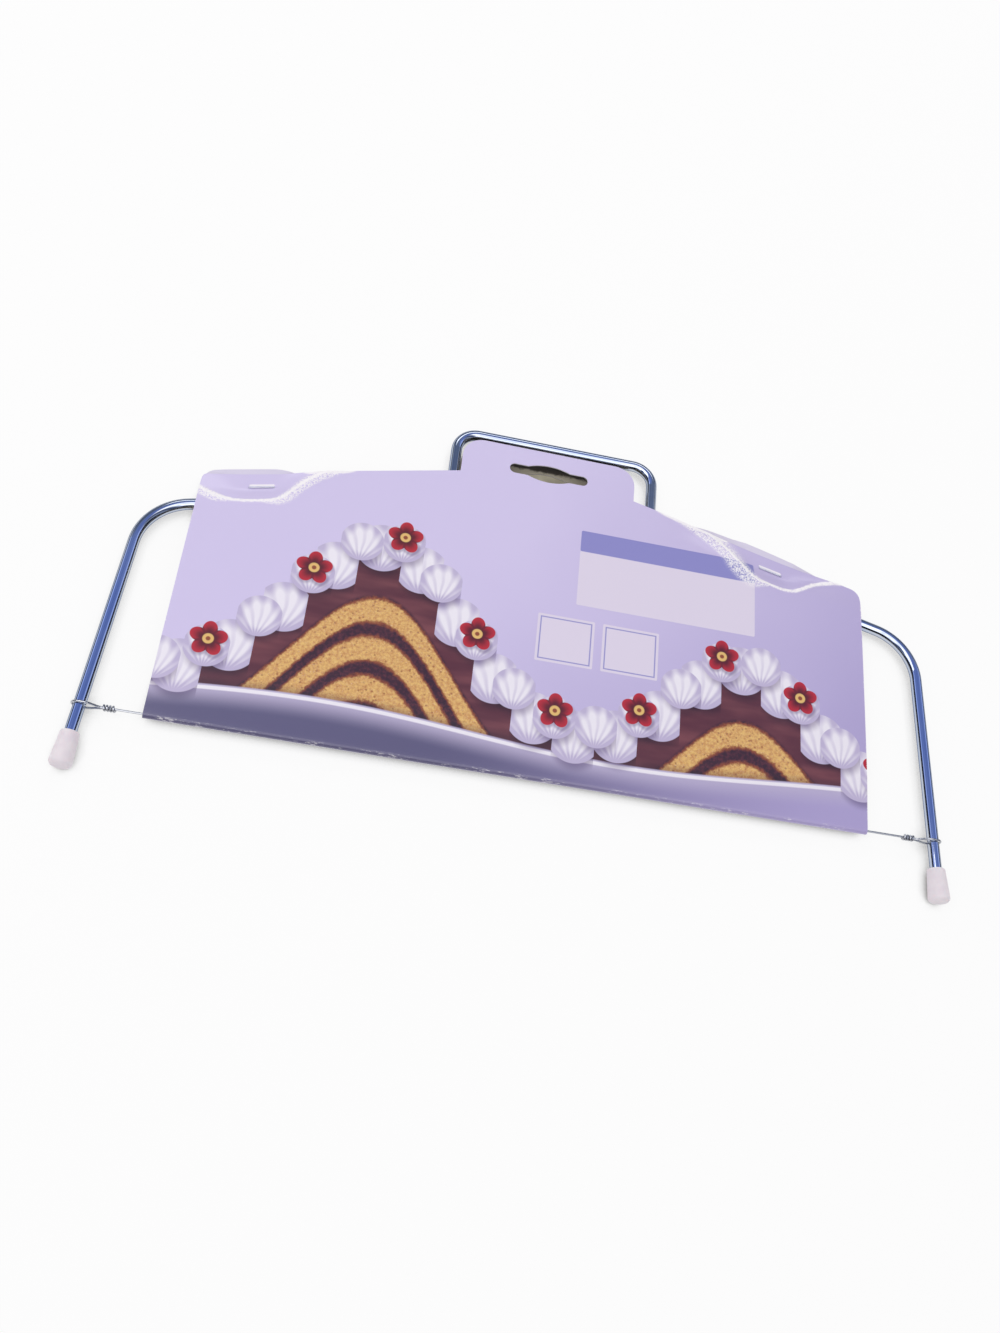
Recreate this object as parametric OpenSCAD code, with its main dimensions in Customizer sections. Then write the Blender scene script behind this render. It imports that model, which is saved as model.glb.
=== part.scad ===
// Wire cake leveler in its folded hanging card, lying face up on a table.
// X runs from the left foot to the right foot, Y from the feet to the handle, Z up out of the table.
// Heights along Y are counted from the bottom of the feet, as when the leveler stands in use.

/* [Frame] */
// Width over the two foot caps
overall_w = 304.8; // [296:0.1:330]
// Height from the bottom of the feet to the top of the handle
overall_h = 158.75; // [152:0.05:190]
// Diameter of the bent rod
rod_d = 4; // [3.2:0.1:4.6]
// Lean of each leg towards the middle, in degrees
leg_splay = 2.6; // [1.5:0.1:4.5]
// Height at which the lines of leg and shoulder cross
shoulder_h = 99.9; // [90:0.1:105]
// Rise of the shoulder towards the handle, in degrees
shoulder_rise = 13.2; // [10:0.1:15]
// Bend radius of the shoulder, to the middle of the rod
shoulder_r = 20; // [12:0.5:26]
// Outside width of the handle
handle_w = 81; // [76:0.5:96]
// Bend radius at the four corners of the handle, to the middle of the rod
handle_r = 8; // [5:0.5:11]
// Depth of the groove that marks the lowest setting of the wire on each leg
groove_depth = 0.25; // [0.1:0.05:0.5]

/* [Foot caps] */
// Largest diameter of a foot cap, near its foot
cap_d = 7.5; // [6.8:0.1:9]
// Diameter of a foot cap at its mouth
cap_mouth_d = 6.2; // [5.8:0.1:6.8]
// Length of a foot cap
cap_len = 12; // [9:0.5:15]
// Solid thickness of the cap under the end of the rod
cap_floor = 1.8; // [1.2:0.1:3]
// Edge radius round the bottom of a foot cap
cap_edge_r = 1.7; // [0.8:0.1:2.2]
// Gap round the rod inside a foot cap
cap_fit = 0.03; // [0.01:0.01:0.1]

/* [Cutting wire] */
// Diameter of the cutting wire
wire_d = 0.8; // [0.6:0.05:1]
// Height of the wire above the work surface at its lowest setting
wire_h = 22; // [18:0.5:26]
// Height of the wire at its highest setting
wire_top_h = 50.8; // [40:0.1:60]
// Gap between a loop and the leg that it rides on
loop_fit = 0.1; // [0.05:0.01:0.2]
// Length over which the two strands of a loop close to the wire
neck_len = 6; // [5:0.5:9]
// Turns that the tail of the wire makes round itself
wrap_turns = 4; // [2:1:6]
// Spacing of these turns
wrap_pitch = 1; // [0.9:0.05:1.4]

/* [Card] */
// Clearance between the left side of the card and the wound end of the cutting wire
card_left_gap = 8.5; // [2:0.5:30]
// Clearance between the right side of the card and the wound end of the cutting wire
card_right_gap = 13.5; // [2:0.5:30]
// Thickness of the paperboard
card_t = 0.45; // [0.3:0.05:0.6]
// Reach of the card past the middle of the shoulder rod
card_margin = 12.1; // [10:0.1:15]
// Radius of the card's two top corners
card_corner_r = 5; // [2:0.5:8]
// Inside radius of the fold that holds the wire
fold_r = 0.9; // [0.8:0.05:1.4]
// Height that each panel takes to spread from the fold to its full depth
fold_ramp = 25; // [12:1:30]
// Distance from the shoulder rod at which the panels meet for stapling
pinch_reach = 4.4; // [4.2:0.1:4.8]
// Length along the shoulder over which the panels open from a staple towards the handle
pinch_to_handle = 20; // [14:1:30]
// Length along the shoulder over which the panels open from the left staple towards the side
left_pinch_to_side = 50; // [14:1:80]
// Length along the shoulder over which the panels open from the right staple towards the side
right_pinch_to_side = 26; // [14:1:80]
// Clearance between the left side of the hanging tab and the handle
tab_left_gap = 0.4; // [0.3:0.1:8]
// Clearance between the right side of the hanging tab and the handle
tab_right_gap = 5.4; // [0.3:0.1:8]
// Clearance between the top of the tab and the handle
tab_top_gap = 1.5; // [0.8:0.1:4]
// Radius of the tab's corners
tab_r = 8; // [4:0.5:10]
// Length of the hanging slot
slot_w = 30.5; // [24:0.5:34]
// Width of the hanging slot at its round ends
slot_end_h = 4.2; // [3:0.1:5]
// Width of the hanging slot in the middle
slot_mid_h = 7.4; // [6:0.1:9]
// Length of the slot's wider middle
slot_mid_w = 24; // [16:0.5:26]
// Distance from the top of the tab to the middle of the slot
slot_drop = 9.7; // [8:0.1:13]

/* [Staples] */
// Length of a staple's crown
staple_w = 9.5; // [8:0.5:12]
// Diameter of the staple wire
staple_d = 0.5; // [0.4:0.05:0.6]
// Distance of the staples from the shoulder rod
staple_reach = 6.4; // [6:0.1:8]
// Distance of the left staple from the left side of the card
left_staple_inset = 21.2; // [10:0.1:45]
// Distance of the right staple from the right side of the card
right_staple_inset = 35.7; // [10:0.1:40]

/* [Hidden] */
$fn = 48;

// Gap between pieces that lie on each other
seat = 0.05;
// Gap left between wires that are wound on each other
wind_gap = 0.03;
// Joints of a bent rod: how far a run stops short, a bend in degrees, and how far the ball stands out
joint_gap = 0.02;
joint_cut = 0.05;
joint_swell = 0.004;
// Points on the arc of a rounded paper corner
corner_steps = 8;
// Points on the arc where the front panel bends over the shoulder rod
ridge_steps = 4;
// Steps in which the panels ease apart on each side of a staple
pinch_steps = 8;
// Where the back panel starts to rise, before the shoulder rod
back_slope_start = -1.5;
// Sides of the cutting wire's section
wire_sides = 8;
// Points round the fold
fold_steps = 12;
// Rings on each strand of a loop's neck, round the loop, and on each wound turn
neck_steps = 8;
loop_steps = 14;
turn_steps = 10;

rod_r = rod_d / 2;
cap_r = cap_d / 2;
wire_r = wire_d / 2;
foot_y = -overall_h / 2;
rod_z = cap_r;

// The flat foot of each tilted cap: its lowest edge stands at height 0, and its widest edge at the
// overall width
cap_disc_r = cap_r - cap_edge_r;
foot_lift = cap_disc_r * sin(leg_splay) + cap_edge_r * (1 - cos(leg_splay));
foot_x = overall_w / 2 - cap_disc_r * cos(leg_splay) - cap_edge_r * (1 - sin(leg_splay));

// Half distance between the legs at a height
function leg_x(h) = foot_x - (h - foot_lift) * tan(leg_splay);

function unit(v) = v / norm(v);
function half_corner(a, b, c) = acos(unit(a - b) * unit(c - b)) / 2;
function run_out(a, b, c, r) = r / tan(half_corner(a, b, c));
function arc_centre(a, b, c, r) =
    b + unit(unit(a - b) + unit(c - b)) * r / sin(half_corner(a, b, c));
function heading(v) = atan2(v[1], v[0]);
function short_way(angle) = angle > 180 ? angle - 360 : angle < -180 ? angle + 360 : angle;
function backwards(list) = [for (i = [len(list) - 1:-1:0]) list[i]];
// A rounded corner at b as points, between the lines to a and c
function round_corner(a, b, c, r, steps) =
    let (m = arc_centre(a, b, c, r),
         start = heading(b + unit(a - b) * run_out(a, b, c, r) - m),
         stop = heading(b + unit(c - b) * run_out(a, b, c, r) - m),
         turn = short_way(stop - start))
    [for (i = [0:steps]) m + r * [cos(start + turn * i / steps), sin(start + turn * i / steps)]];

// Middle line of the rod as corners. The one bent rod is held as three pieces, which meet flush on
// the shoulders under the card: two legs and the handle.
shoulder_x = leg_x(shoulder_h);
handle_x = handle_w / 2 - rod_r;
handle_y = overall_h - rod_r;
function shoulder_y(x) = shoulder_h + (shoulder_x - x) * tan(shoulder_rise);
rod_end_h = foot_lift + (cap_floor + seat) * cos(leg_splay);
meet_x = (shoulder_x + handle_x) / 2;
meet = [meet_x, shoulder_y(meet_x)];
leg_corners = [[leg_x(rod_end_h), rod_end_h], [shoulder_x, shoulder_h], meet];
right_handle = [meet, [handle_x, shoulder_y(handle_x)], [handle_x, handle_y]];
handle_corners = concat(right_handle, [for (p = backwards(right_handle)) [-p[0], p[1]]]);

// Straight run before each corner, and the turn at it, positive to the left
function corner_run(corners, i, r) = i == 0 || i == len(corners) - 1 ? 0
    : run_out(corners[i - 1], corners[i], corners[i + 1], r);
function rod_runs(corners, r) = [for (i = [0:len(corners) - 2])
    norm(corners[i + 1] - corners[i]) - corner_run(corners, i, r) - corner_run(corners, i + 1, r)];
function rod_turns(corners) = [for (i = [1:len(corners) - 2])
    short_way(heading(corners[i + 1] - corners[i]) - heading(corners[i] - corners[i - 1]))];

// Levels of the card's panels, as inside faces above and below the middle of the rod
front_in = rod_r + seat;
back_in = cap_r - card_t;
pinch_in = seat;

// Slack that the lean of the legs takes from each loop over the travel of the wire
loop_slack = (wire_top_h - wire_h) * tan(leg_splay);
loop_r = rod_r / cos(leg_splay) + loop_fit + wire_r;
loop_x = leg_x(wire_h);
neck_x = loop_x - loop_slack - neck_len;
wind_r = wire_d + wind_gap;
wound_end_x = neck_x - wrap_turns * wrap_pitch - wire_r;

// Middle line of the right half of the cutting wire, from its straight stretch out
function ease(s) = (1 - cos(180 * s)) / 2;
out_neck = [for (i = [0:neck_steps]) let (s = i / neck_steps) [neck_x + neck_len * s, 0, loop_r * ease(s)]];
round_leg = [for (i = [0:loop_steps]) let (a = 90 - 180 * i / loop_steps)
    [loop_x + loop_r * cos(a), 0, loop_r * sin(a)]];
back_neck = [for (i = [0:neck_steps]) let (s = i / neck_steps)
    [neck_x + neck_len * (1 - s), 0, -loop_r + (loop_r - wind_r) * ease(s)]];
wound_tail = [for (i = [1:wrap_turns * turn_steps]) let (a = 270 + 360 * i / turn_steps)
    [neck_x - wrap_pitch * i / turn_steps, wind_r * cos(a), wind_r * sin(a)]];
right_wire = concat(out_neck, round_leg, back_neck, wound_tail);
left_wire = [for (p = backwards(right_wire)) [-p[0], p[1], p[2]]];
wire_path = concat(left_wire, right_wire);

// Outline of the card
card_left = card_left_gap - wound_end_x;
card_right = wound_end_x - card_right_gap;
tab_left = tab_left_gap - (handle_x - rod_r);
tab_right = handle_x - rod_r - tab_right_gap;
tab_top = handle_y - rod_r - tab_top_gap;
slot_x = (tab_left + tab_right) / 2;
// Height of the card's sloping top edge at a distance from the frame's middle
function edge_y(x) = shoulder_y(abs(x)) + card_margin / cos(shoulder_rise);
// Where the staples stand
left_staple_at = card_left + left_staple_inset;
right_staple_at = card_right - right_staple_inset;
// The panels lie flat together under the crown and a little past it, and then ease apart
pinch_half = staple_w / 2 + 1;
// The front panel bends round the rod by this angle on its way down to the pinch
ridge_turn = asin(front_in / norm([pinch_reach, pinch_in])) - atan2(pinch_in, pinch_reach);
// A length past the whole object
far = 2 * overall_w;
// The folded part and the upper panels overlap between these heights
upper_from = wire_h + fold_ramp + 1;
folded_to = upper_from + 2;

// Puts a drawing made in heights above the feet, and about the middle of the rod, in its place
module in_place() {
    translate([0, foot_y, rod_z]) children();
}

// Bend of a round rod that runs up +Z, towards +X, or towards -X where the turn is negative
module rod_bend(turn, bend_r, r) {
    mirror([turn < 0 ? 1 : 0, 0, 0])
        translate([bend_r, 0, 0])
            mirror([1, 0, 0])
                rotate([90, 0, 0])
                    rotate([0, 0, joint_cut])
                        rotate_extrude(angle = abs(turn) - 2 * joint_cut)
                            translate([bend_r, 0]) circle(r = r);
}

// Round rod bent as on a bench: a straight run up +Z, a bend, the next run, and so on.
// Each run and bend stops a hair short, and a ball a hair larger than the rod fills the joint.
module bent_rod(runs, turns, bend_r, r, i = 0) {
    start = i == 0 ? 0 : joint_gap;
    stop = i == len(turns) ? runs[i] : runs[i] - joint_gap;
    translate([0, 0, start]) cylinder(h = stop - start, r = r);
    if (i > 0) sphere(r = r + joint_swell);
    if (i < len(turns))
        translate([0, 0, runs[i]]) {
            toward = turns[i] < 0 ? -1 : 1;
            sphere(r = r + joint_swell);
            rod_bend(turns[i], bend_r, r);
            translate([toward * bend_r, 0, 0])
                rotate([0, turns[i], 0])
                    translate([-toward * bend_r, 0, 0])
                        bent_rod(runs, turns, bend_r, r, i + 1);
        }
}

// The frame's rod along a line of corners in heights above the feet
module frame_rod(corners, bend_r) {
    translate([corners[0][0], corners[0][1], 0])
        rotate([0, 0, heading(corners[1] - corners[0]) - 90])
            rotate([-90, 0, 0])
                mirror([1, 0, 0])
                    bent_rod(rod_runs(corners, bend_r), rod_turns(corners), bend_r, rod_r);
}

// Turns a piece made along +Z so that it stands on the line of the right leg
module on_right_leg(h) {
    translate([leg_x(h), h, 0])
        rotate([0, 0, leg_splay])
            rotate([-90, 0, 0])
                children();
}

// One leg with its shoulder, and the groove that marks the wire's lowest setting
module leg() {
    groove_r = wire_r + seat;
    difference() {
        frame_rod(leg_corners, shoulder_r);
        on_right_leg(wire_h)
            rotate_extrude()
                translate([rod_r - groove_depth + groove_r, 0]) circle(r = groove_r);
    }
}

module right_leg() {
    color("lightsteelblue") in_place() leg();
}

module left_leg() {
    color("lightsteelblue") in_place() mirror([1, 0, 0]) leg();
}

module handle() {
    color("lightsteelblue") in_place() frame_rod(handle_corners, handle_r);
}

// Soft cap that is pushed on the end of a leg, with a blind bore for the rod
module foot_cap() {
    mouth_r = cap_mouth_d / 2;
    bore_r = rod_r + cap_fit;
    lip_r = (mouth_r - bore_r) / 2;
    foot_edge = round_corner([0, 0], [cap_r, 0], [cap_r, cap_len], cap_edge_r, corner_steps);
    mouth_edge = round_corner([cap_r, 0], [mouth_r, cap_len], [0, cap_len], lip_r, corner_steps);
    bore = [[bore_r, cap_len], [bore_r, cap_floor], [0, cap_floor], [0, 0]];
    on_right_leg(foot_lift)
        rotate_extrude() polygon(concat(foot_edge, mouth_edge, bore));
}

module right_foot_cap() {
    color("ghostwhite") in_place() foot_cap();
}

module left_foot_cap() {
    color("ghostwhite") in_place() mirror([1, 0, 0]) foot_cap();
}

// Round wire swept along a list of points, its section carried along without twist
module swept_wire(path, r, sides) {
    count = len(path);
    ahead = [for (i = [0:count - 1])
        unit(path[min(i + 1, count - 1)] - path[max(i - 1, 0)])];
    across = [for (i = 0, n = unit(cross(ahead[0], [0.3, 1, 0.2])); i < count;
        i = i + 1, n = i < count ? unit(n - ahead[i] * (n * ahead[i])) : n) n];
    ring = [for (i = [0:count - 1]) for (k = [0:sides - 1])
        let (a = 360 * k / sides, up = cross(ahead[i], across[i]))
            path[i] + r * (across[i] * cos(a) + up * sin(a))];
    walls = [for (i = [0:count - 2]) for (k = [0:sides - 1]) for (half = [0, 1])
        let (p = i * sides + k, q = i * sides + (k + 1) % sides)
            half == 0 ? [p, p + sides, q] : [q, p + sides, q + sides]];
    start_face = [for (k = [0:sides - 1]) k];
    end_face = [for (k = backwards(start_face)) (count - 1) * sides + k];
    polyhedron(ring, concat(walls, [start_face, end_face]));
}

module cutting_wire() {
    color("gainsboro") in_place() translate([0, wire_h, 0])
        swept_wire(wire_path, wire_r, wire_sides);
}

// Flat outline of one card panel with its hanging tab
module card_outline() {
    right_top = [card_right, edge_y(card_right)];
    left_top = [card_left, edge_y(card_left)];
    right_base = [tab_right, edge_y(tab_right)];
    left_base = [tab_left, edge_y(tab_left)];
    polygon(concat(
        [[card_left, wire_h], [card_right, wire_h]],
        round_corner([card_right, wire_h], right_top, right_base, card_corner_r, corner_steps),
        [right_base],
        round_corner(right_base, [tab_right, tab_top], [tab_left, tab_top], tab_r, corner_steps),
        round_corner([tab_right, tab_top], [tab_left, tab_top], left_base, tab_r, corner_steps),
        [left_base],
        round_corner(left_base, left_top, [card_left, wire_h], card_corner_r, corner_steps)
    ));
}

// Hanging slot: a long round-ended slot with a wider, lens-shaped middle
module hang_slot() {
    lens_r = (pow(slot_mid_w / 2, 2) + pow(slot_mid_h / 2, 2)) / slot_mid_h;
    lens_y = lens_r - slot_mid_h / 2;
    end_x = (slot_w - slot_end_h) / 2;
    translate([slot_x, tab_top - slot_drop]) {
        for (side = [-1, 1]) translate([side * end_x, 0]) circle(d = slot_end_h);
        square([2 * end_x, slot_end_h], center = true);
        intersection() {
            translate([0, lens_y]) circle(r = lens_r, $fn = 96);
            translate([0, -lens_y]) circle(r = lens_r, $fn = 96);
        }
    }
}

// Inside height of the front panel above the middle of the rod, where it is fully pressed together,
// at a distance from the shoulder rod: round the rod, then straight down to the pinch
function over_rod(reach) = reach <= 0 ? front_in
    : reach <= front_in * sin(ridge_turn) ? sqrt(front_in * front_in - reach * reach)
    : reach < pinch_reach ? pinch_in + (pinch_reach - reach) * tan(ridge_turn)
    : pinch_in;
// The same for the back panel, counted downwards: one straight slope under the rod
function under_rod(reach) = reach <= back_slope_start ? back_in
    : reach < pinch_reach
        ? pinch_in + (pinch_reach - reach) * (back_in - pinch_in) / (pinch_reach - back_slope_start)
        : pinch_in;

// How firmly the panels are pressed together, 0 to 1, at a distance along the shoulder from its
// corner, for a staple at another distance
function fall(d, span) = d <= 0 ? 1 : d >= span ? 0 : 1 - ease(d / span);
function pinch(along, staple_at, to_side) = along > staple_at
    ? fall(along - staple_at - pinch_half, pinch_to_handle)
    : fall(staple_at - along - pinch_half, to_side);
// Distance of a staple along the shoulder from its corner
function staple_along(x) = (shoulder_x - abs(x)) / cos(shoulder_rise) + staple_reach * tan(shoulder_rise);

// Closed solid between a grid of points and the same grid raised by a thickness
module raised_sheet(grid, thickness) {
    rows = len(grid);
    cols = len(grid[0]);
    count = rows * cols;
    low = [for (row = grid) for (p = row) p];
    high = [for (p = low) p + [0, 0, thickness]];
    quads = [for (i = [0:rows - 2]) for (k = [0:cols - 2])
        [i * cols + k, i * cols + k + 1, (i + 1) * cols + k + 1, (i + 1) * cols + k]];
    bottom = [for (q = quads) each [[q[0], q[1], q[2]], [q[0], q[2], q[3]]]];
    top = [for (f = bottom) [f[2] + count, f[1] + count, f[0] + count]];
    border = concat(
        [for (k = [0:cols - 2]) k],
        [for (i = [0:rows - 2]) i * cols + cols - 1],
        [for (k = [cols - 1:-1:1]) (rows - 1) * cols + k],
        [for (i = [rows - 1:-1:1]) i * cols]);
    sides = [for (i = [0:len(border) - 1])
        let (p = border[i], q = border[(i + 1) % len(border)])
            each [[q, p, q + count], [p, p + count, q + count]]];
    polyhedron(concat(low, high), concat(bottom, top, sides));
}

// Upper part of one panel on the right, from the folded part up over the shoulder rod.
// The grid runs along the shoulder towards the handle, and across it.
module shoulder_panel(front, staple_x, to_side) {
    at = staple_along(staple_x);
    ridge = [for (i = [1:ridge_steps]) front_in * sin(ridge_turn * i / ridge_steps)];
    across = front ? concat([-far, 0], ridge, [pinch_reach, far])
        : [-far, back_slope_start, pinch_reach, far];
    side_marks = [for (i = [0:pinch_steps]) at - pinch_half - to_side * (1 - i / pinch_steps)];
    handle_marks = [for (i = [0:pinch_steps]) at + pinch_half + pinch_to_handle * i / pinch_steps];
    along = concat([for (m = side_marks) if (m > 0) m], handle_marks);
    ends = concat([0], along, [shoulder_x + far / 4]);
    grid = [for (s = ends) [for (u = across)
        let (full = front ? over_rod(u) : under_rod(u),
             level = front ? front_in : back_in,
             h = level + (full - level) * pinch(s, at, to_side))
            [shoulder_x - s * cos(shoulder_rise) + u * sin(shoulder_rise),
             shoulder_h + s * sin(shoulder_rise) + u * cos(shoulder_rise), h]]];
    mirror([0, 0, front ? 0 : 1])
        intersection() {
            translate([-1, upper_from, -cap_d]) cube([far, far, 2 * cap_d]);
            raised_sheet(grid, card_t);
        }
}

// Lower part of the card: the round fold about the wire, from which both panels spread
module folded_part() {
    fold_arc = [for (i = [0:fold_steps]) let (a = 90 + 180 * i / fold_steps) [cos(a), sin(a)]];
    hinge = [wire_h, 0];
    outside = concat(
        [[folded_to, front_in + card_t], [wire_h + fold_ramp, front_in + card_t]],
        [for (p = fold_arc) hinge + (fold_r + card_t) * p],
        [[wire_h + fold_ramp, -back_in - card_t], [folded_to, -back_in - card_t]]);
    inside = concat(
        [[folded_to, front_in], [wire_h + fold_ramp, front_in]],
        [for (p = fold_arc) hinge + fold_r * p],
        [[wire_h + fold_ramp, -back_in], [folded_to, -back_in]]);
    translate([card_left, 0, 0])
        rotate([90, 0, 90])
            linear_extrude(card_right - card_left) polygon(concat(outside, backwards(inside)));
}

// Both panels above the folded part
module upper_part() {
    for (front = [true, false]) {
        shoulder_panel(front, right_staple_at, right_pinch_to_side);
        mirror([1, 0, 0]) shoulder_panel(front, left_staple_at, left_pinch_to_side);
    }
}

// Places a staple drawn along X, with its middle at the origin, on the staple line
module at_staple(x) {
    y = shoulder_y(abs(x)) + staple_reach / cos(shoulder_rise);
    translate([x, y, 0]) rotate([0, 0, x > 0 ? -shoulder_rise : shoulder_rise]) children();
}

module staple_holes() {
    for (side = [-1, 1])
        translate([side * (staple_w - staple_d) / 2, 0, -cap_r])
            cylinder(h = cap_d, r = staple_d / 2 + wind_gap, $fn = 24);
}

module card() {
    color("lavender") in_place() difference() {
        union() {
            folded_part();
            intersection() {
                upper_part();
                translate([0, 0, -cap_d]) linear_extrude(2 * cap_d) difference() {
                    card_outline();
                    hang_slot();
                }
            }
        }
        at_staple(left_staple_at) staple_holes();
        at_staple(right_staple_at) staple_holes();
    }
}

// Wire staple: crown on the front, legs through both panels, points clinched flat behind.
// It is bent from one point round to the other.
module staple() {
    r = staple_d / 2;
    bend = r + wind_gap;
    reach = pinch_in + card_t + bend;
    crown = staple_w - staple_d;
    point = crown / 2 * 0.7;
    runs = [point - bend, 2 * (reach - bend), crown - 2 * bend, 2 * (reach - bend), point - bend];
    translate([-crown / 2 + point, 0, -reach])
        rotate([0, -90, 0])
            bent_rod(runs, [90, 90, 90, 90], bend, r);
}

module left_staple() {
    color("silver") in_place() at_staple(left_staple_at) staple();
}

module right_staple() {
    color("silver") in_place() at_staple(right_staple_at) staple();
}

left_leg();
right_leg();
handle();
left_foot_cap();
right_foot_cap();
cutting_wire();
card();
left_staple();
right_staple();
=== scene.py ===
"""Looks of the wire cake leveler in its folded hanging card, lying face up on a pale floor.

The frame, the foot caps, the cutting wire and the staples keep their CAD meshes and get materials.
The card is modelled here as one creased sheet of coated paperboard with a printed face.
"""

import math

import bpy
from mathutils import Matrix, Vector, geometry, noise


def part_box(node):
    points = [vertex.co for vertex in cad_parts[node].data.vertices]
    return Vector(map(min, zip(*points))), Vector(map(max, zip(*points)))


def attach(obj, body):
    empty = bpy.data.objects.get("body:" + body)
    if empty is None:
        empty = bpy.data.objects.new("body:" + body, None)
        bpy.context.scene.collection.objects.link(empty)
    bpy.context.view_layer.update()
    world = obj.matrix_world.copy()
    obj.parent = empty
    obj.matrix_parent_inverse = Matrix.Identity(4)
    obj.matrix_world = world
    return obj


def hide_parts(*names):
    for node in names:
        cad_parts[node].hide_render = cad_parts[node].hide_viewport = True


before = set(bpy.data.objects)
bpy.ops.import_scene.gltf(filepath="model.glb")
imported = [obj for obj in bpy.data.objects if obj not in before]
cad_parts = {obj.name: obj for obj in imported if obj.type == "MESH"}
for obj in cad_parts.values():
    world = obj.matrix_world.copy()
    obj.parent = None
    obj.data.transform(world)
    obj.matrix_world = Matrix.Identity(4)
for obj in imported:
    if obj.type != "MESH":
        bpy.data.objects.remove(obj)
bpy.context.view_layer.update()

MM = 0.001

# Sizes, in millimetres
# Heights along Y are counted from the bottom of the feet, and Z from the middle of the rod.
OVERALL_H, FOOT_CAP_D = 158.75, 7.5
FOOT_Y = -OVERALL_H / 2
ROD_Z = FOOT_CAP_D / 2
# The rod, and the outer end of its sloping shoulders
ROD_R = 2.0
SHOULDER_RISE = math.radians(13.2)
SHOULDER_X, SHOULDER_H = 144.2, 99.9
# The card's board, its margin past the shoulder rod, and the corners of its panels
CARD_T, CARD_MARGIN = 0.45, 12.1
CARD_CORNER_R, FRONT_LEFT_CORNER_R = 5.0, 2.0
# How far the back panel stands out past the front one at its top edge
LEFT_BACK_SLIP, RIGHT_BACK_SLIP = 2.6, 3.3
# The tab and its hanging slot: a lens on a long round-ended slot
TAB_LEFT, TAB_RIGHT, TAB_R = -36.1, 31.1, 8.0
SLOT_W, SLOT_END_H = 30.5, 4.2
SLOT_MID_W, SLOT_MID_H = 24.0, 7.4
SLOT_DROP = 9.7
# The fold round the wire, and the height over which the panels part from it
WIRE_H, FOLD_R, FOLD_RAMP = 22.0, 0.9, 25.0
RAMP_START, RAMP_STRETCH = 0.13, 1.15
# Inside depth of the panels: clear of the rod in front, and with the back panel on the floor
SEAT = 0.05
FRONT_IN = ROD_R + SEAT
BACK_IN = ROD_Z - CARD_T


def in_mm(point):
    return [value / MM for value in point]


card_low, card_high = map(in_mm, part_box("card"))
CARD_LEFT, CARD_RIGHT = card_low[0], card_high[0]
TAB_TOP = card_high[1] - FOOT_Y
SLOT_X, SLOT_Y = (TAB_LEFT + TAB_RIGHT) / 2, TAB_TOP - SLOT_DROP


def staple_x(node):
    low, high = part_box(node)
    return (low.x + high.x) / 2 / MM


LEFT_STAPLE, RIGHT_STAPLE = staple_x("left_staple"), staple_x("right_staple")


# Curves
def clamped(value):
    return min(max(value, 0.0), 1.0)


def ease(value):
    """Smooth step from 0 at 0 to 1 at 1."""
    return (1 - math.cos(math.pi * clamped(value))) / 2


def fade(value, start, stop):
    """0 at start, 1 at stop, smooth between."""
    return ease((value - start) / (stop - start))


def bell(value, middle, width):
    """1 at the middle, and less to either side."""
    return math.exp(-(((value - middle) / width) ** 2))


def steps(start, stop, count):
    return [start + (stop - start) * i / count for i in range(count + 1)]


def by_side(x, left, right):
    return right if x > 0 else left


# Outline of the card
RIGHT_SLIP_STARTS, RIGHT_SLIP_EASES, EASED_SLIP = (34, 64), (76, 116), 0.45
LEFT_SLIP_STARTS = (-90, -104)
# Places along X that are closer than this are one place
MERGE = 0.01


def shoulder_y(x):
    """Height of the middle of the shoulder rod."""
    return SHOULDER_H + (SHOULDER_X - abs(x)) * math.tan(SHOULDER_RISE)


def reach(x, y):
    """Distance past the middle of the shoulder rod."""
    return (y - shoulder_y(x)) * math.cos(SHOULDER_RISE)


def edge_y(x):
    """Height of the card's sloping top edge, before its corners are rounded."""
    return shoulder_y(x) + CARD_MARGIN / math.cos(SHOULDER_RISE)


def top_y(x, front=True):
    """Height of a panel's top edge with its two rounded corners."""
    side = by_side(x, -CARD_LEFT, CARD_RIGHT)
    r = FRONT_LEFT_CORNER_R if front and x < 0 else CARD_CORNER_R
    slope_x, slope_y = math.sin(SHOULDER_RISE), math.cos(SHOULDER_RISE)
    line = side * slope_x + edge_y(side) * slope_y
    centre_x = side - r
    centre_y = (line - r - slope_x * centre_x) / slope_y
    along = abs(x) - centre_x
    if along <= r * slope_x:
        return edge_y(x)
    return centre_y + math.sqrt(max(r**2 - along**2, 0.0))


def tab_base_y(x):
    """Height at which the tab starts, on the line between the shoulder edges that it meets."""
    share = (x - TAB_LEFT) / (TAB_RIGHT - TAB_LEFT)
    return edge_y(TAB_LEFT) + (edge_y(TAB_RIGHT) - edge_y(TAB_LEFT)) * share


def back_slip(x):
    """How far the back panel stands out past the front panel along either shoulder."""
    if x > 0:
        eased = 1 - EASED_SLIP * fade(x, *RIGHT_SLIP_EASES)
        return RIGHT_BACK_SLIP * fade(x, *RIGHT_SLIP_STARTS) * eased
    return LEFT_BACK_SLIP * fade(x, *LEFT_SLIP_STARTS)


def panel_top(x, front):
    """Height at which a panel's columns end: its top edge, or the foot of the tab."""
    if TAB_LEFT - MERGE <= x <= TAB_RIGHT + MERGE:
        return tab_base_y(x)
    return top_y(x, front) + (0.0 if front else back_slip(x))


# The staples: how far past the shoulder rod's middle they sit, and half their crown
STAPLE_REACH, STAPLE_HALF = 6.4, 4.75
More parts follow.
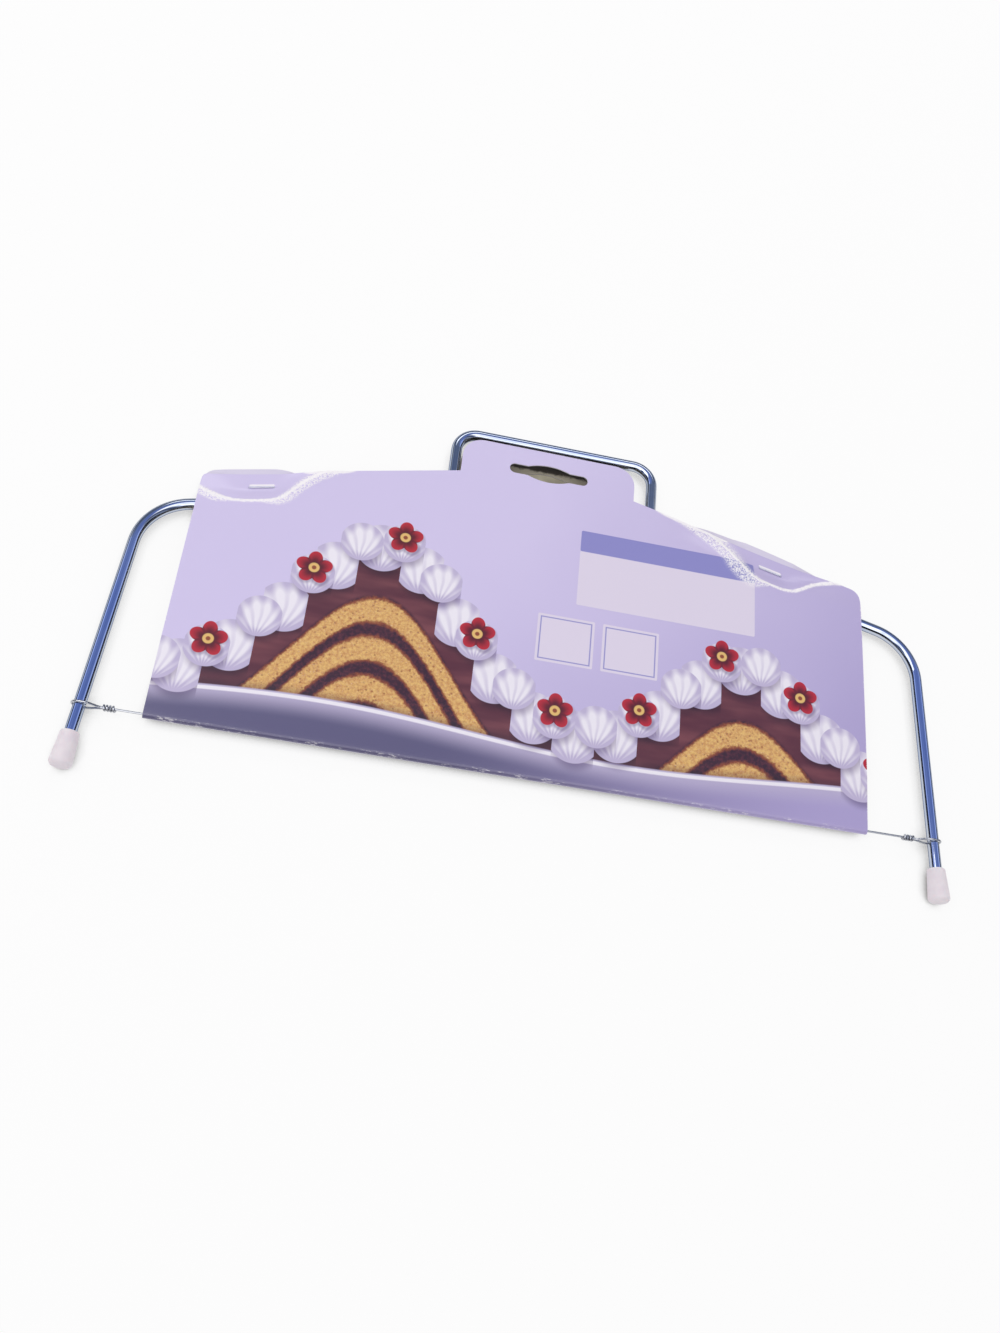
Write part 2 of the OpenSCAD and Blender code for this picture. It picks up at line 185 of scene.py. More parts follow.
# The U-shaped crease round each staple: how far out it runs on either side, and its form
LEFT_PINCH_TO_HANDLE, LEFT_PINCH_TO_SIDE = 6.4, 13.5
RIGHT_PINCH_TO_HANDLE, RIGHT_PINCH_TO_SIDE = 7.6, 8.0
PINCH_ROUNDNESS, PINCH_STRAIGHT = 2.0, 0.6
PINCH_FLARE, FLARE_START = 0.015, 1.5
CREASE_RISE, CREASE_WIDTH, CREASE_AT = 0.22, 0.10, 1.05
# The front panel's rise from the pressed middle of a pinch, part of it eased
PINCH_FLAT, EASED_RISE = 0.12, 0.45
SWELL_STARTS = (1.0, 1.9)
# The back panel's rise to the front one, by the distance past the shoulder rod
PRESS_START, PINCH_REACH = -1.5, 4.4

# Where the two panels come together along the top edge, and by how much
EDGE_BAND = (2.2, 11.2)
RIGHT_MEETING, RIGHT_PARTING, PARTED = (38, 72), (96, 120), 0.6
LEFT_MEETING = (-92, -108)
DROOP, BACK_LIFT = 1.25, 2.3

# Soft swell of the front panel, the ripples on it, and the lift of the tab's left side
SWELL, LEVEL_LIFT, SWELL_H = 0.45, 0.1, 95
RIPPLE, RIPPLE_X, RIPPLE_Y, RIPPLE_SLANT, RIPPLE_SHIFT = 0.10, 31, 27, 90, 0.6
TAB_LIFT, TAB_LIFT_W, TAB_LIFTS = 0.45, 34, (126, 152)

# The crumpled coat beside a crease: wider towards the handle and at the card's left end
CRUMPLE_AT, CRUMPLE_WIDTH, CRUMPLE_LEAST = 1.06, 0.12, 0.45
LEFT_CRUMPLE_SPREAD, RIGHT_CRUMPLE_SPREAD = 0.2, 0.4
HANDLE_SIDE_RUN, HANDLE_SIDE_START = 12, 0.1
LEFT_END, LEFT_END_SHIFT, LEFT_END_SPREAD = (-114, -122), 0.04, 0.07
WRINKLE, WRINKLE_SCALE, WRINKLE_STARTS = 0.08, 0.42, (0.9, 1.1)

# Painted highlights: on the front panel's cut edge beside either crease, and in the strip above a
# staple's crown
RIGHT_RIM_HIGHLIGHT, LEFT_RIM_HIGHLIGHT, RIM_HIGHLIGHT_DEPTH = ((34, 46), (74, 66)), ((-70, -78), (-96, -90)), 2.2
STRIP_AT, STRIP_WIDTH, STRIP_END = 0.95, 0.6, 0.8


def pinch_distance(x, y):
    """Distance from the nearest staple, 1 on the U-shaped crease round it and less inside."""
    to_handle = by_side(x, LEFT_PINCH_TO_HANDLE, RIGHT_PINCH_TO_HANDLE)
    to_side = by_side(x, LEFT_PINCH_TO_SIDE, RIGHT_PINCH_TO_SIDE)
    away = (abs(x) - abs(by_side(x, LEFT_STAPLE, RIGHT_STAPLE))) / math.cos(SHOULDER_RISE)
    over = reach(x, y)
    flare = max(min(over, CARD_MARGIN) - FLARE_START, 0.0)
    width = (to_side if away > 0 else to_handle) * (1 + PINCH_FLARE * flare**2)
    past_straight = max(abs(away) - PINCH_STRAIGHT * STAPLE_HALF, 0.0)
    along = past_straight / (width + (1 - PINCH_STRAIGHT) * STAPLE_HALF)
    down = max(STAPLE_REACH - over, 0.0) / STAPLE_REACH
    return (along**PINCH_ROUNDNESS + down**PINCH_ROUNDNESS) ** (1 / PINCH_ROUNDNESS)


def crease(x, y):
    """1 on the crease round a staple and 0 away from it."""
    return bell(pinch_distance(x, y), CREASE_AT, CREASE_WIDTH)


def crumpled(x, y):
    """1 where the coat is crumpled beside a crease, most of all on its side towards the handle. The
    print's material paints glints there.
    """
    if y < WIRE_H + FOLD_RAMP:
        return 0.0
    inwards = abs(by_side(x, LEFT_STAPLE, RIGHT_STAPLE)) - abs(x)
    to_handle = ease(inwards / HANDLE_SIDE_RUN + HANDLE_SIDE_START)
    to_end = fade(x, *LEFT_END)
    spread_out = by_side(x, LEFT_CRUMPLE_SPREAD, RIGHT_CRUMPLE_SPREAD) * to_handle
    middle = CRUMPLE_AT + spread_out / 2 + LEFT_END_SHIFT * to_end
    width = CRUMPLE_WIDTH + spread_out + LEFT_END_SPREAD * to_end
    strength = CRUMPLE_LEAST + (1 - CRUMPLE_LEAST) * max(to_handle, to_end)
    return bell(pinch_distance(x, y), middle, width) * strength


def painted_rim_highlight(x, y):
    """1 on the front panel's cut edge beside either crease, where a highlight is painted white."""
    start, end = by_side(x, LEFT_RIM_HIGHLIGHT, RIGHT_RIM_HIGHLIGHT)
    return fade(x, *start) * fade(x, *end) * max(0.0, 1 - (top_y(x) - y) / RIM_HIGHLIGHT_DEPTH)


def painted_staple_highlight(x, y):
    """1 in the narrow strip above a staple's crown, where a highlight is painted white."""
    away = abs(x - by_side(x, LEFT_STAPLE, RIGHT_STAPLE)) / math.cos(SHOULDER_RISE)
    above = reach(x, y) - STAPLE_REACH
    along = fade(away, STAPLE_HALF + STRIP_END, STAPLE_HALF - STRIP_END)
    return along * bell(above, STRIP_AT, STRIP_WIDTH)


def right_edge(x, y):
    """1 on the right shoulder's top edge, where the panels come together, and 0 away from it."""
    parting = 1 - PARTED * fade(x, *RIGHT_PARTING)
    return fade(reach(x, y), *EDGE_BAND) * fade(x, *RIGHT_MEETING) * parting


def left_edge(x, y):
    """The same for the outer end of the left shoulder."""
    return fade(reach(x, y), *EDGE_BAND) * fade(x, *LEFT_MEETING)


def spread(y, deep):
    """Inside depth of a panel on its way from the fold to its full depth."""
    if y <= WIRE_H:
        return FOLD_R
    return FOLD_R + (deep - FOLD_R) * ease((y - WIRE_H) / FOLD_RAMP / RAMP_STRETCH + RAMP_START)


def front_bulge(x, y):
    """Soft swell of the front panel between the fold and the shoulders, and the lift of its tab."""
    across = math.sin(math.pi * clamped((x - CARD_LEFT) / (CARD_RIGHT - CARD_LEFT)))
    up = math.sin(math.pi * clamped((y - WIRE_H) / SWELL_H))
    swell = SWELL * across * up
    ripple_x = math.sin(x / RIPPLE_X + RIPPLE_SHIFT)
    ripple_y = math.sin(y / RIPPLE_Y + x / RIPPLE_SLANT)
    ripples = RIPPLE * ripple_x * ripple_y * up
    tab = fade(y, *TAB_LIFTS) * max(0.0, (SLOT_X - x) / TAB_LIFT_W) * TAB_LIFT
    return swell + ripples + LEVEL_LIFT * up + tab


def front_in(x, y):
    """Inside depth of the front panel, in front of the rod's middle."""
    if y < WIRE_H + FOLD_RAMP:
        return spread(y, FRONT_IN) + front_bulge(x, y)
    distance = pinch_distance(x, y)
    rise = clamped((distance - PINCH_FLAT) / (1 - PINCH_FLAT))
    open_share = EASED_RISE * ease(rise) + (1 - EASED_RISE) * rise
    depth = FRONT_IN - SEAT - DROOP * right_edge(x, y)
    uneven = 1 + noise.noise(Vector((x, y, 0)) * WRINKLE_SCALE)
    wrinkle = WRINKLE * crumpled(x, y) * fade(distance, *WRINKLE_STARTS) * uneven
    swell = fade(distance, *SWELL_STARTS) * front_bulge(x, y)
    return SEAT + depth * open_share + CREASE_RISE * crease(x, y) + wrinkle + swell


def pressed_back(past_rod):
    """Inside depth of the back panel in a pinch, from the floor up to the front panel."""
    if past_rod <= PRESS_START:
        return BACK_IN
    if past_rod < PINCH_REACH:
        return SEAT + (PINCH_REACH - past_rod) * (BACK_IN - SEAT) / (PINCH_REACH - PRESS_START)
    return SEAT


def back_in(x, y):
    """Inside depth of the back panel, behind the rod's middle."""
    if y < WIRE_H + FOLD_RAMP:
        return spread(y, BACK_IN)
    lift = BACK_LIFT * max(right_edge(x, y), left_edge(x, y))
    return min(pressed_back(STAPLE_REACH * (1 - pinch_distance(x, y))), BACK_IN - lift)


# Mesh of the card
EVEN_COLUMNS, CLOSEST_COLUMNS = 120, 0.35
STAPLE_COLUMNS, STAPLE_COLUMN_W = 31, 0.8
# Rows from the fold up, and then by their distance past the middle of the shoulder rod
LOWER_ROWS, ROW_GROWTH = 34, 1.15
ROWS_BEFORE_ROD = [-14, -10, -7, -5.2, -4, -3, -2.2, -1.5, -0.9, -0.4]
ROWS_PAST_ROD = steps(0, 8, 14) + [8.7, 9.4, 10.1, 10.7, 11.3, 11.7, CARD_MARGIN]
FOLD_STEPS = 12
CORNER_STEPS, ARC_STEPS, LENS_STEPS, SIDE_STEPS = 8, 10, 16, 8
TAB_GRID, TAB_GRID_START, TAB_GRID_CLEAR = 2.1, 2.0, 1.0
FILL_INSIDE, FILL_TOLERANCE = 1, 1e-5
# Rows of the back panel's inner face, next to its top edge, that are coated as its outside is
LIP_ROWS = 7
# The card's materials by their slots, and the marks of wear and painted highlights that the print's
# material reads
PRINT, PLAIN, INSIDE, EDGE = range(4)
MARKS = ("crumpled", "pinch", "rim")
FAR_FROM_PINCH = 9.0


def columns():
    """Places of the mesh's columns: even, closer about the staples, and on the tab's sides."""
    fixed = (CARD_LEFT, CARD_RIGHT, TAB_LEFT, TAB_RIGHT)
    marks = {*fixed, 0.0, *steps(CARD_LEFT, CARD_RIGHT, EVEN_COLUMNS)}
    for side, staple, corner in ((-1, LEFT_STAPLE, CARD_LEFT), (1, RIGHT_STAPLE, CARD_RIGHT)):
        marks.update(staple + STAPLE_COLUMN_W * i for i in range(-STAPLE_COLUMNS, STAPLE_COLUMNS + 1))
        for r in (CARD_CORNER_R, FRONT_LEFT_CORNER_R):
            turns = steps(0, math.pi / 2, CORNER_STEPS)
            marks.update(corner - side * r * (1 - math.cos(turn)) for turn in turns)
    kept = []
    for x in sorted(mark for mark in marks if CARD_LEFT <= mark <= CARD_RIGHT):
        if not kept or x - kept[-1] >= CLOSEST_COLUMNS:
            kept.append(x)
        elif x in fixed and kept[-1] in fixed:
            kept.append(x)
        elif x in fixed:
            kept[-1] = x
    return kept


def panel_rows(x, front):
    """Heights of the mesh's rows in one column, from the fold to the top edge."""
    over = reach(x, panel_top(x, front))
    past_rod = [row * over / CARD_MARGIN for row in ROWS_PAST_ROD]
    upper = [shoulder_y(x) + row / math.cos(SHOULDER_RISE) for row in ROWS_BEFORE_ROD + past_rod]
    lower = [WIRE_H + (upper[0] - WIRE_H) * (i / LOWER_ROWS) ** ROW_GROWTH for i in range(LOWER_ROWS)]
    return lower + upper


class Sheet:
    """Mesh of the card: points by their place, so that neighbouring patches share them."""

    def __init__(self):
        self.points, self.index, self.faces, self.slots = [], {}, [], []
        self.marks = {mark: [] for mark in MARKS}

    def point(self, place):
        key = tuple(round(value, 4) for value in place)
        if key not in self.index:
            x, y, z = place
            self.index[key] = len(self.points)
            self.points.append(Vector((x, y + FOOT_Y, z + ROD_Z)) * MM)
            self.add_marks(x, y, in_front=z > 0)
        return self.index[key]

    def add_marks(self, x, y, in_front):
        """What the print's material has to know of a point. The back panel has no such wear or painted
        highlight.
        """
        wear = (0.0, FAR_FROM_PINCH, 0.0)
        if in_front:
            highlit = max(painted_rim_highlight(x, y), painted_staple_highlight(x, y))
            wear = (crumpled(x, y), pinch_distance(x, y), highlit)
        for mark, value in zip(MARKS, wear):
            self.marks[mark].append(value)

    def face(self, corners, slot, turned=False):
        ids = [self.point(corner) for corner in (corners[::-1] if turned else corners)]
        if len(set(ids)) > 2:
            self.faces.append([i for k, i in enumerate(ids) if i != ids[k - 1]])
            self.slots.append(slot)


def panel_pair(front, x, y):
    """Inside and outside point of a panel."""
    inner = front_in(x, y) if front else -back_in(x, y)
    board = CARD_T if front else -CARD_T
    return (x, y, inner), (x, y, inner + board)


def fold_pair(x, angle):
    """Inside and outside point on the round of the fold."""
    up, out = math.cos(angle), math.sin(angle)
    r = front_in(x, WIRE_H) if out > 0 else back_in(x, WIRE_H)
    return (x, WIRE_H + FOLD_R * up, r * out), (x, WIRE_H + (FOLD_R + CARD_T) * up, (r + CARD_T) * out)


def strip(x):
    """One column of the folded sheet, from the top of the front panel round to the top of the back."""
    front = [panel_pair(True, x, y) for y in panel_rows(x, True)]
    back = [panel_pair(False, x, y) for y in panel_rows(x, False)]
    turns = [math.pi / 2 + math.pi * i / FOLD_STEPS for i in range(1, FOLD_STEPS)]
    return front[::-1] + [fold_pair(x, turn) for turn in turns] + back


def slot_outline():
    """Hanging slot, as points round it: a lens on a long round-ended slot."""
    lens_r = ((SLOT_MID_W / 2) ** 2 + (SLOT_MID_H / 2) ** 2) / SLOT_MID_H
    lens_y = lens_r - SLOT_MID_H / 2
    end_r = SLOT_END_H / 2
    end_x = SLOT_W / 2 - end_r
    meet = math.sqrt(lens_r**2 - (lens_y + end_r) ** 2)
    turns = steps(-math.pi / 2, math.pi / 2, ARC_STEPS)
    right = [(end_x + end_r * math.cos(turn), end_r * math.sin(turn)) for turn in turns]
    top = [(x, math.sqrt(lens_r**2 - x**2) - lens_y) for x in steps(meet, -meet, LENS_STEPS)]
    half = right + top
    other_half = [(-x, -y) for x, y in half]
    return [(SLOT_X + x, SLOT_Y + y) for x, y in half + other_half]


def tab_outline(base):
    """The tab as points round it, from the left end of its base."""
    centre_y = TAB_TOP - TAB_R
    corners = []
    for centre_x, first in ((TAB_RIGHT - TAB_R, 0.0), (TAB_LEFT + TAB_R, math.pi / 2)):
        for turn in steps(0, math.pi / 2, ARC_STEPS):
            angle = first + turn
            corners.append((centre_x + TAB_R * math.cos(angle), centre_y + TAB_R * math.sin(angle)))
    right = [(TAB_RIGHT, y) for y in steps(base[-1][1], centre_y, SIDE_STEPS)[1:-1]]
    left = [(TAB_LEFT, y) for y in steps(centre_y, base[0][1], SIDE_STEPS)[1:-1]]
    return base + right + corners + left


def inside(point, outline):
    hit = False
    x, y = point
    for (x0, y0), (x1, y1) in zip(outline, outline[1:] + outline[:1]):
        if (y0 > y) != (y1 > y) and x < (x1 - x0) * (y - y0) / (y1 - y0) + x0:
            hit = not hit
    return hit


def tab_patch(base):
    """Flat triangles of the tab with its slot, and the outlines that get a cut edge."""
    outline, slot = tab_outline(base), slot_outline()
    low = base[0][1] - TAB_GRID_START
    across, up = round((TAB_RIGHT - TAB_LEFT) / TAB_GRID), math.ceil((TAB_TOP - low) / TAB_GRID)
    grid = [(TAB_LEFT + TAB_GRID * i, low + TAB_GRID * k) for i in range(1, across) for k in range(up)]

    def clear(point):
        near = min(math.dist(point, other) for other in outline + slot)
        return near > TAB_GRID_CLEAR and inside(point, outline) and not inside(point, slot)

    points = outline + slot + [point for point in grid if clear(point)]
    loops = [range(len(outline)), range(len(outline), len(outline) + len(slot))]
    edges = [(loop[i], loop[(i + 1) % len(loop)]) for loop in loops for i in range(len(loop))]
    flat = [Vector(point) for point in points]
    found = geometry.delaunay_2d_cdt(flat, edges, [], FILL_INSIDE, FILL_TOLERANCE)
    # The points as they went in, because those that come back are rounded
    places = []
    for place, came_from in zip(found[0], found[3]):
        places.append(tuple(points[came_from[0]]) if came_from else tuple(place))
    triangles = []
    for face in found[2]:
        centre = tuple(sum(places[i][k] for i in face) / 3 for k in (0, 1))
        if inside(centre, outline) and not inside(centre, slot):
            triangles.append([places[i] for i in face])
    return triangles, outline, slot


def add_folded_panels(sheet, cols):
    """Both panels and the fold between them, with their cut edges."""
    strips = [strip(x) for x in cols]
    last = len(strips[0]) - 1
    fold_middle = last // 2
    for x0, x1, left, right in zip(cols, cols[1:], strips, strips[1:]):
        for k in range(last):
            (a_in, a_out), (b_in, b_out) = left[k], left[k + 1]
            (d_in, d_out), (c_in, c_out) = right[k], right[k + 1]
            sheet.face([a_out, b_out, c_out, d_out], PRINT if k < fold_middle else PLAIN)
            sheet.face([a_in, d_in, c_in, b_in], PLAIN if k > last - LIP_ROWS else INSIDE)
        if x0 < TAB_LEFT - MERGE or x1 > TAB_RIGHT + MERGE:
            for k in (0, last):
                (a_in, a_out), (d_in, d_out) = left[k], right[k]
                sheet.face([a_in, a_out, d_out, d_in], EDGE, turned=k == last)
    for side, turned in ((strips[0], False), (strips[-1], True)):
        for (a_in, a_out), (b_in, b_out) in zip(side, side[1:]):
            sheet.face([a_in, b_in, b_out, a_out], EDGE, turned)


def add_tab(sheet, cols):
    """The middle of each panel, which goes on up into the tab."""
    base = [(x, tab_base_y(x)) for x in cols if TAB_LEFT - MERGE <= x <= TAB_RIGHT + MERGE]
    triangles, outline, slot = tab_patch(base)
    for front in (True, False):
        for triangle in triangles:
            pairs = [panel_pair(front, *corner) for corner in triangle]
            sheet.face([pair[1] for pair in pairs], PRINT if front else PLAIN, turned=not front)
            sheet.face([pair[0] for pair in pairs], INSIDE, turned=front)
        for loop, skip in ((outline, len(base) - 1), (slot, 0)):
            for i in range(skip, len(loop)):
                p_in, p_out = panel_pair(front, *loop[i])
                q_in, q_out = panel_pair(front, *loop[(i + 1) % len(loop)])
                sheet.face([p_in, q_in, q_out, p_out], EDGE, turned=(loop is slot) == front)


def card_sheet():
    sheet = Sheet()
    cols = columns()
    add_folded_panels(sheet, cols)
    add_tab(sheet, cols)
    return sheet


# Nodes of materials and of the world

# Places of the colour sockets on a Mix node
MIX_A, MIX_B, MIX_COLOUR = 6, 7, 2


class Nodes:
    """Short words for building the node tree of a material or a world."""

    def __init__(self, owner, output):
        self.owner = owner
        owner.use_nodes = True
        self.tree = owner.node_tree
        self.tree.nodes.clear()
        self.output = self.new(output)

    def new(self, kind, **settings):
        node = self.tree.nodes.new(kind)
        for key, value in settings.items():
            setattr(node, key, value)
        return node

    def put(self, socket, value):
        if isinstance(value, bpy.types.NodeSocket):
            self.tree.links.new(value, socket)
        elif isinstance(value, tuple) and len(value) == 3 and socket.type == "RGBA":
            socket.default_value = (*value, 1)
        else:
            socket.default_value = value

    def filled(self, node, values):
        """Puts values on a node's first inputs, and gives its output."""
        for socket, value in zip(node.inputs, values):
            self.put(socket, value)
        return node.outputs[0]

    def math(self, operation, *values, clamp=False):
        return self.filled(self.new("ShaderNodeMath", operation=operation, use_clamp=clamp), values)

    def add(self, a, b):
        return self.math("ADD", a, b)

    def sub(self, a, b):
        return self.math("SUBTRACT", a, b)

    def mul(self, a, b):
        return self.math("MULTIPLY", a, b)

    def div(self, a, b):
        return self.math("DIVIDE", a, b)

    def minimum(self, a, b):
        return self.math("MINIMUM", a, b)

    def maximum(self, a, b):
        return self.math("MAXIMUM", a, b)

    def absolute(self, a):
        return self.math("ABSOLUTE", a)

    def length(self, a, b):
        return self.math("SQRT", self.add(self.mul(a, a), self.mul(b, b)))

    def clamp01(self, a):
        return self.math("ADD", a, 0.0, clamp=True)

    def place(self):
        """Object coordinates in millimetres, as one vector."""
        scaled = self.new("ShaderNodeVectorMath", operation="SCALE")
        self.put(scaled.inputs[0], self.new("ShaderNodeTexCoord").outputs["Object"])
        scaled.inputs["Scale"].default_value = 1 / MM
        return scaled.outputs[0]

    def apart(self, vector):
        """X, Y and Z of a vector."""
        node = self.new("ShaderNodeSeparateXYZ")
        self.put(node.inputs[0], vector)
        return tuple(node.outputs)

    def stretched(self, vector, scale):
        return self.filled(self.new("ShaderNodeVectorMath", operation="MULTIPLY"), (vector, scale))

    def noise(self, vector, scale, detail=2.0, roughness=0.5):
        node = self.new("ShaderNodeTexNoise")
        self.put(node.inputs["Vector"], vector)
        node.inputs["Scale"].default_value = scale
        node.inputs["Detail"].default_value = detail
        node.inputs["Roughness"].default_value = roughness
        return node.outputs["Fac"]

    def sway(self, vector, width, scale, detail=2.0, roughness=0.5):
        """Noise about zero, this wide from its lowest to its highest."""
        return self.mul(self.sub(self.noise(vector, scale, detail, roughness), 0.5), width)

    def cells(self, vector, scale):
        node = self.new("ShaderNodeTexVoronoi")
        self.put(node.inputs["Vector"], vector)
        node.inputs["Scale"].default_value = scale
        return node.outputs["Distance"]

    def fade(self, value, start, stop):
        """0 at start, 1 at stop, smooth between."""
        node = self.new("ShaderNodeMapRange", interpolation_type="SMOOTHSTEP")
        self.put(node.inputs["Value"], value)
        self.put(node.inputs["From Min"], start)
        self.put(node.inputs["From Max"], stop)
        return node.outputs[0]

    def mix(self, share, a, b, blend="MIX"):
        node = self.new("ShaderNodeMix", data_type="RGBA", blend_type=blend)
        self.put(node.inputs["Factor"], share)
        self.put(node.inputs[MIX_A], a)
        self.put(node.inputs[MIX_B], b)
        return node.outputs[MIX_COLOUR]

    def darken(self, share, colour, shade):
        return self.mix(share, colour, shade, blend="MULTIPLY")

    def attribute(self, name):
        return self.new("ShaderNodeAttribute", attribute_name=name).outputs["Fac"]

    def bump(self, height, strength, distance):
        node = self.new("ShaderNodeBump")
        self.put(node.inputs["Height"], height)
        node.inputs["Strength"].default_value = strength
        node.inputs["Distance"].default_value = distance
        return node.outputs[0]

    def ramp(self, value, stops):
        """Colour between the stops, each of them a value and a colour."""
        node = self.new("ShaderNodeValToRGB")
        elements = node.color_ramp.elements
        for position, _ in stops[1:-1]:
            elements.new(position)
        for element, (position, colour) in zip(elements, stops):
            element.position = position
            element.color = (*colour, 1)
        return self.filled(node, (value,))

    def shader_mix(self, share, a, b):
        return self.filled(self.new("ShaderNodeMixShader"), (share, a, b))

    def background(self, colour):
        return self.filled(self.new("ShaderNodeBackground"), (colour,))

    def surface(self, shader):
        self.put(self.output.inputs["Surface"], shader)
        return self.owner

    def principled(self, **sockets):
        node = self.new("ShaderNodeBsdfPrincipled")
        for key, value in sockets.items():
            self.put(node.inputs[key.replace("_", " ")], value)
        return self.surface(node.outputs[0])


def material_nodes(name):
    return Nodes(bpy.data.materials.new(name), "ShaderNodeOutputMaterial")


def srgb(*values):
    """Linear colour of an 8-bit screen colour."""
    parts = [value / 255 for value in values]
    return tuple(p / 12.92 if p <= 0.04045 else ((p + 0.055) / 1.055) ** 2.4 for p in parts)


# Colours of the print
LAVENDER, DEEP_LAVENDER = srgb(213, 203, 239), srgb(174, 162, 210)
PERIWINKLE, LABEL = srgb(142, 140, 204), srgb(226, 217, 236)
LIT_CHOCOLATE, CHOCOLATE, DARK_CHOCOLATE = srgb(128, 68, 72), srgb(92, 38, 48), srgb(56, 20, 32)
SHADOW = srgb(120, 96, 140)
SPONGE, YELLOW_SPONGE, CRUST = srgb(205, 146, 84), srgb(232, 190, 112), srgb(148, 74, 38)
CREAM, CREAM_SHADE = srgb(242, 238, 248), srgb(168, 152, 200)
RED, DARK_RED = srgb(190, 26, 44), srgb(92, 6, 22)
PLATE, SHADED_PLATE = srgb(190, 180, 212), srgb(93, 88, 124)
# Colours of the board: its plain coat, its bare inside with painted shade above the slot, its cut edges,
# and the white of its cracked coat and painted highlights
PLAIN_COAT, SHADED_COAT = srgb(226, 221, 238), srgb(206, 199, 226)
PAINTED_SHADE_BOARD, DEEP_PAINTED_SHADE_BOARD, PALE_BOARD = srgb(84, 78, 70), srgb(54, 48, 44), srgb(196, 188, 170)
CUT_EDGE, SHADED_EDGE = srgb(244, 242, 246), srgb(220, 216, 224)
WHITE_OF_WEAR_AND_HIGHLIGHTS = srgb(253, 250, 253)
# Colours of the metal, the caps and the floor
CHROME, CLOUDED_CHROME, PITS = srgb(198, 204, 216), srgb(184, 194, 214), srgb(96, 102, 124)
# The chrome's dark blue edge tint, a painted dark reflection at grazing angles
CHROME_PAINTED_DARK_EDGE = (0.10, 0.14, 0.26)
WIRE_DARK, WIRE_PALE = srgb(150, 152, 158), srgb(214, 216, 222)
STAPLE_DARK, STAPLE_PALE = srgb(206, 208, 214), srgb(244, 246, 250)
VINYL, CLOUDED_VINYL, DUST = srgb(235, 228, 233), srgb(228, 219, 227), srgb(186, 174, 186)
WHITE, FLOOR_WHITE, FLOOR_CONTACT = (1.0, 1.0, 1.0), (0.86, 0.86, 0.87), srgb(52, 48, 44)
TAB_SHADE, DEEP_TAB_SHADE = srgb(176, 170, 152), srgb(104, 98, 84)

# The ground: how deep its colour is at the origin, and how fast it deepens along X and Y, partly as
# printed and partly as painted shade
GROUND_DEPTH, GROUND_FALL_X, GROUND_FALL_Y = 0.42, 0.0042, -0.003
# The printed hills as middle, width and height over the crest's lowest line, and their layers
CREST = 40.0
HILLS = ((-58.0, 40.0, 64.0), (76.0, 33.0, 40.0))
COAT, COAT_BLEND = 26.0, 2.0
LAYER, FILLING, LAYERS = 10.0, 5.0, 5
CRUST_BAND, CRUMB_BAND = (-1.0, 0.4), (0.2, 1.5)
# The frill's two rows of shells: shift along the crest, radius and how far below it they sit
FRILL_PITCH = 15.0
FRILL_ROWS = ((0.0, 9.6, 5.5), (FRILL_PITCH / 2, 7.8, 1.0))
SHELL_RIBS, SHELL_TWIST = 20.0, 0.25
SHELL_SHADOW_RIGHT, SHELL_SHADOW_DOWN, SHELL_SHADOW_OUT, SHELL_SHADOW_IN = 0.8, 2.2, 1.6, 2.4
# The flowers, one on every second shell of the upper row
FLOWER_PITCH, FLOWER_R, FLOWER_RISE, PETALS = 2 * FRILL_PITCH, 6.6, 1.5, 5
FLOWER_EYE, EYE_DOT = (2.1, 1.7), (1.0, 0.6)
FLOWER_SHADOW_RIGHT, FLOWER_SHADOW_DOWN, FLOWER_SHADOW_BLUR = 0.6, 1.4, 0.9
# The blank label with its ribbon, and the two blank panels, as middles, halves and corners
LABEL_BOX = ((46, 101), (34, 11.5), LABEL)
RIBBON_BOX = ((46, 117), (34, 4.5), PERIWINKLE)
PANEL_MIDDLES, PANEL_HALF = ((9, 74), (33, 74)), (10.5, 9.5)
LABEL_R, PANEL_R = 0.6, 0.5
FRAME_INSET, FRAME_LINE = 1.2, (0.35, 0.12)
# The pale foot of the print: its height, the wave of its upper line and the pale line under that
FOOT_H, FOOT_WAVE, FOOT_WAVE_SHIFT, FOOT_WAVE_RATE = 34.0, 3.0, 20.0, 0.03
FOOT_PALES, FOOT_SHADED_END = (-9.0, 0.0), (-40.0, 120.0)
FOOT_SHADOW, FOOT_LINE_AT, FOOT_LINE = (3.5, 0.0), 1.2, (0.9, 0.4)
# Half the width over which one printed colour turns into the next
SOFT, CRISP = 0.15, 0.12
# The coat's wear by the distance from the fold and from the sides, each with its own weight
FOLD_WEIGHT, SIDE_WEIGHT = 0.8, 1.6
CRACKED, SPECKED = (0.8, 0.1), (5.0, 0.3)
# The white line on the creases, partly cracked coat and partly painted highlight, and the painted
# highlights on the rims, by their marks
WHITE_LINE_AT, WHITE_LINE, RIM_HIGHLIGHT_FADE = 1.03, (0.13, 0.04), (0.35, 0.75)
# Heights over the slot's middle between which the bare board turns from pale to its painted shade
PALE_TO, PAINTED_SHADE_FROM = 3.8, 5.2


# The printed face
def hills(n, x):
    """Height of the printed hills' crest at a place along the card."""
    crest = CREST
    for centre, width, height in HILLS:
        off = n.div(n.sub(x, centre), width)
        crest = n.add(crest, n.mul(n.math("EXPONENT", n.mul(n.mul(off, off), -1.0)), height))
    return crest


def nearest_on_crest(n, x, y, pitch, shift, sink):
    """Offset from the nearest of the motifs that stand along the crest, one every pitch."""
    cell = n.add(n.mul(n.math("ROUND", n.div(n.sub(x, shift), pitch)), pitch), shift)
    return n.sub(x, cell), n.sub(n.add(y, sink), hills(n, cell))


